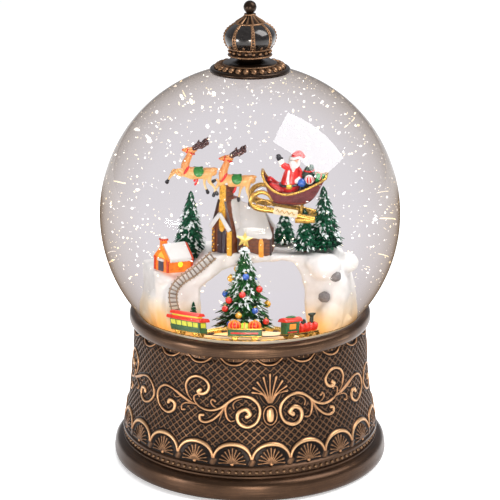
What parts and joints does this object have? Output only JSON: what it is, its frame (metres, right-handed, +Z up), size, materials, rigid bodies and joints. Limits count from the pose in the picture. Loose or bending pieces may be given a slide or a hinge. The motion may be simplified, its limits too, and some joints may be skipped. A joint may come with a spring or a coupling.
{
  "type": "snow globe",
  "caption": "Water globe with a Christmas village, flying sleigh and turning train, on a round relief base with a crown finial, battery door below and a rear switch.",
  "frame": {"origin": "centre of the base, on the surface it stands on", "axes": "+Z up through the finial, front of the scene faces -Y"},
  "size_m": [0.15, 0.15, 0.2344],
  "materials": {
    "bronze": "antiqued bronze with rubbed copper-gold edges",
    "rim_bronze": "brushed bronze",
    "dark_plastic": "matt moulded",
    "grey_plastic": "matt moulded",
    "ivory_plastic": "smooth",
    "rubber": "matt",
    "steel": "plain",
    "brass": "plain",
    "cell_wrap": "printed foil, no lettering",
    "board": "solder mask",
    "led_white": "plain",
    "led_lens": "lit warm white",
    "glass": "clear blown glass",
    "stopper_white": "translucent moulded",
    "magnet": "nickel plated",
    "snow": "painted resin snow",
    "loco_paint": "hand painted resin",
    "wagon_paint": "hand painted resin",
    "coach_paint": "hand painted resin",
    "gold_paint": "gold paint",
    "rail_paint": "painted resin",
    "stone": "painted resin",
    "cottage_paint": "painted resin",
    "church_paint": "painted resin",
    "pine_green": "painted resin with snow tips",
    "tree_green": "painted resin with snow tips",
    "bauble_paint": "painted balls",
    "deer_tan": "painted resin",
    "sleigh_maroon": "painted resin",
    "santa_red": "painted resin",
    "sack_green": "painted resin"
  },
  "bodies": {
    "root": {"base_housing": "bronze", "rim_ring": "rim_bronze", "bottom_plate": "dark_plastic", "rubber_feet": "rubber", "housing_screws": "steel", "battery_tray": "dark_plastic", "battery_cells": "cell_wrap", "contact_springs": "steel", "contact_plates": "brass", "rear_panel": "dark_plastic", "switch_body": "grey_plastic", "power_socket": "steel", "circuit_board": "board", "mech_plate": "grey_plastic", "mech_screws": "steel", "gear_spindle": "steel", "drive_motor": "steel", "swirl_motor": "steel", "led_board": "led_white", "leds": "led_lens", "globe_glass": "glass", "stopper": "stopper_white", "stopper_gaskets": "rubber", "filler_plug": "rubber", "clamp_ring": "grey_plastic", "center_post": "steel", "scene_platform": "snow", "snow_mound": "snow", "ramp_rails": "rail_paint", "stones": "stone", "cottage": "cottage_paint", "cottage_roof": "snow", "church": "church_paint", "church_roof": "snow", "pine_trees": "pine_green", "christmas_tree": "tree_green", "tree_star": "gold_paint", "tree_ornaments": "bauble_paint", "lead_reindeer": "deer_tan", "rear_reindeer": "deer_tan", "sleigh": "sleigh_maroon", "sleigh_runners": "gold_paint", "santa": "santa_red", "gift_sack": "sack_green", "finial_cap": "bronze", "finial_crown": "bronze", "finial_ball": "bronze"},
    "turntable": {"turntable": "ivory_plastic", "turntable_magnets": "magnet", "locomotive": "loco_paint", "gift_wagon": "wagon_paint", "coach": "coach_paint", "train_wheels": "gold_paint"},
    "drive_rotor": {"drive_gear": "ivory_plastic", "drive_magnets": "magnet"},
    "pinion": {"motor_pinion": "ivory_plastic"},
    "swirl_drive": {"swirl_rotor": "ivory_plastic"},
    "swirl_impeller": {"impeller": "ivory_plastic"},
    "door": {"battery_door": "dark_plastic"},
    "knob": {"switch_knob": "ivory_plastic"}
  },
  "joints": [
    {"name": "train_spin", "type": "hinge", "parent": "root", "child": "turntable", "pos_m": [0, 0, 0.075], "axis": [0, 0, 1], "continuous": true},
    {"name": "drive_spin", "type": "hinge", "parent": "root", "child": "drive_rotor", "pos_m": [0, 0, 0.055], "axis": [0, 0, 1], "continuous": true},
    {"name": "pinion_spin", "type": "hinge", "parent": "root", "child": "pinion", "pos_m": [-0.0392, 0, 0.055], "axis": [0, 0, 1], "continuous": true},
    {"name": "impeller_spin", "type": "hinge", "parent": "root", "child": "swirl_impeller", "pos_m": [0, 0.04, 0.066], "axis": [0, 0, 1], "continuous": true},
    {"name": "swirl_spin", "type": "hinge", "parent": "root", "child": "swirl_drive", "pos_m": [0, 0.04, 0.057], "axis": [0, 0, 1], "continuous": true},
    {"name": "door_hinge", "type": "hinge", "parent": "root", "child": "door", "pos_m": [0, -0.052, 0.0034], "axis": [-1, 0, 0], "range_deg": [0, 100]},
    {"name": "switch_slide", "type": "slide", "parent": "root", "child": "knob", "axis": [1, 0, 0], "range_m": [0, 0.005]}
  ],
  "couplings": [
    {"joint": "pinion_spin", "follows": "drive_spin", "ratio": -3},
    {"joint": "train_spin", "follows": "drive_spin", "ratio": 1},
    {"joint": "swirl_spin", "follows": "impeller_spin", "ratio": 1}
  ]
}
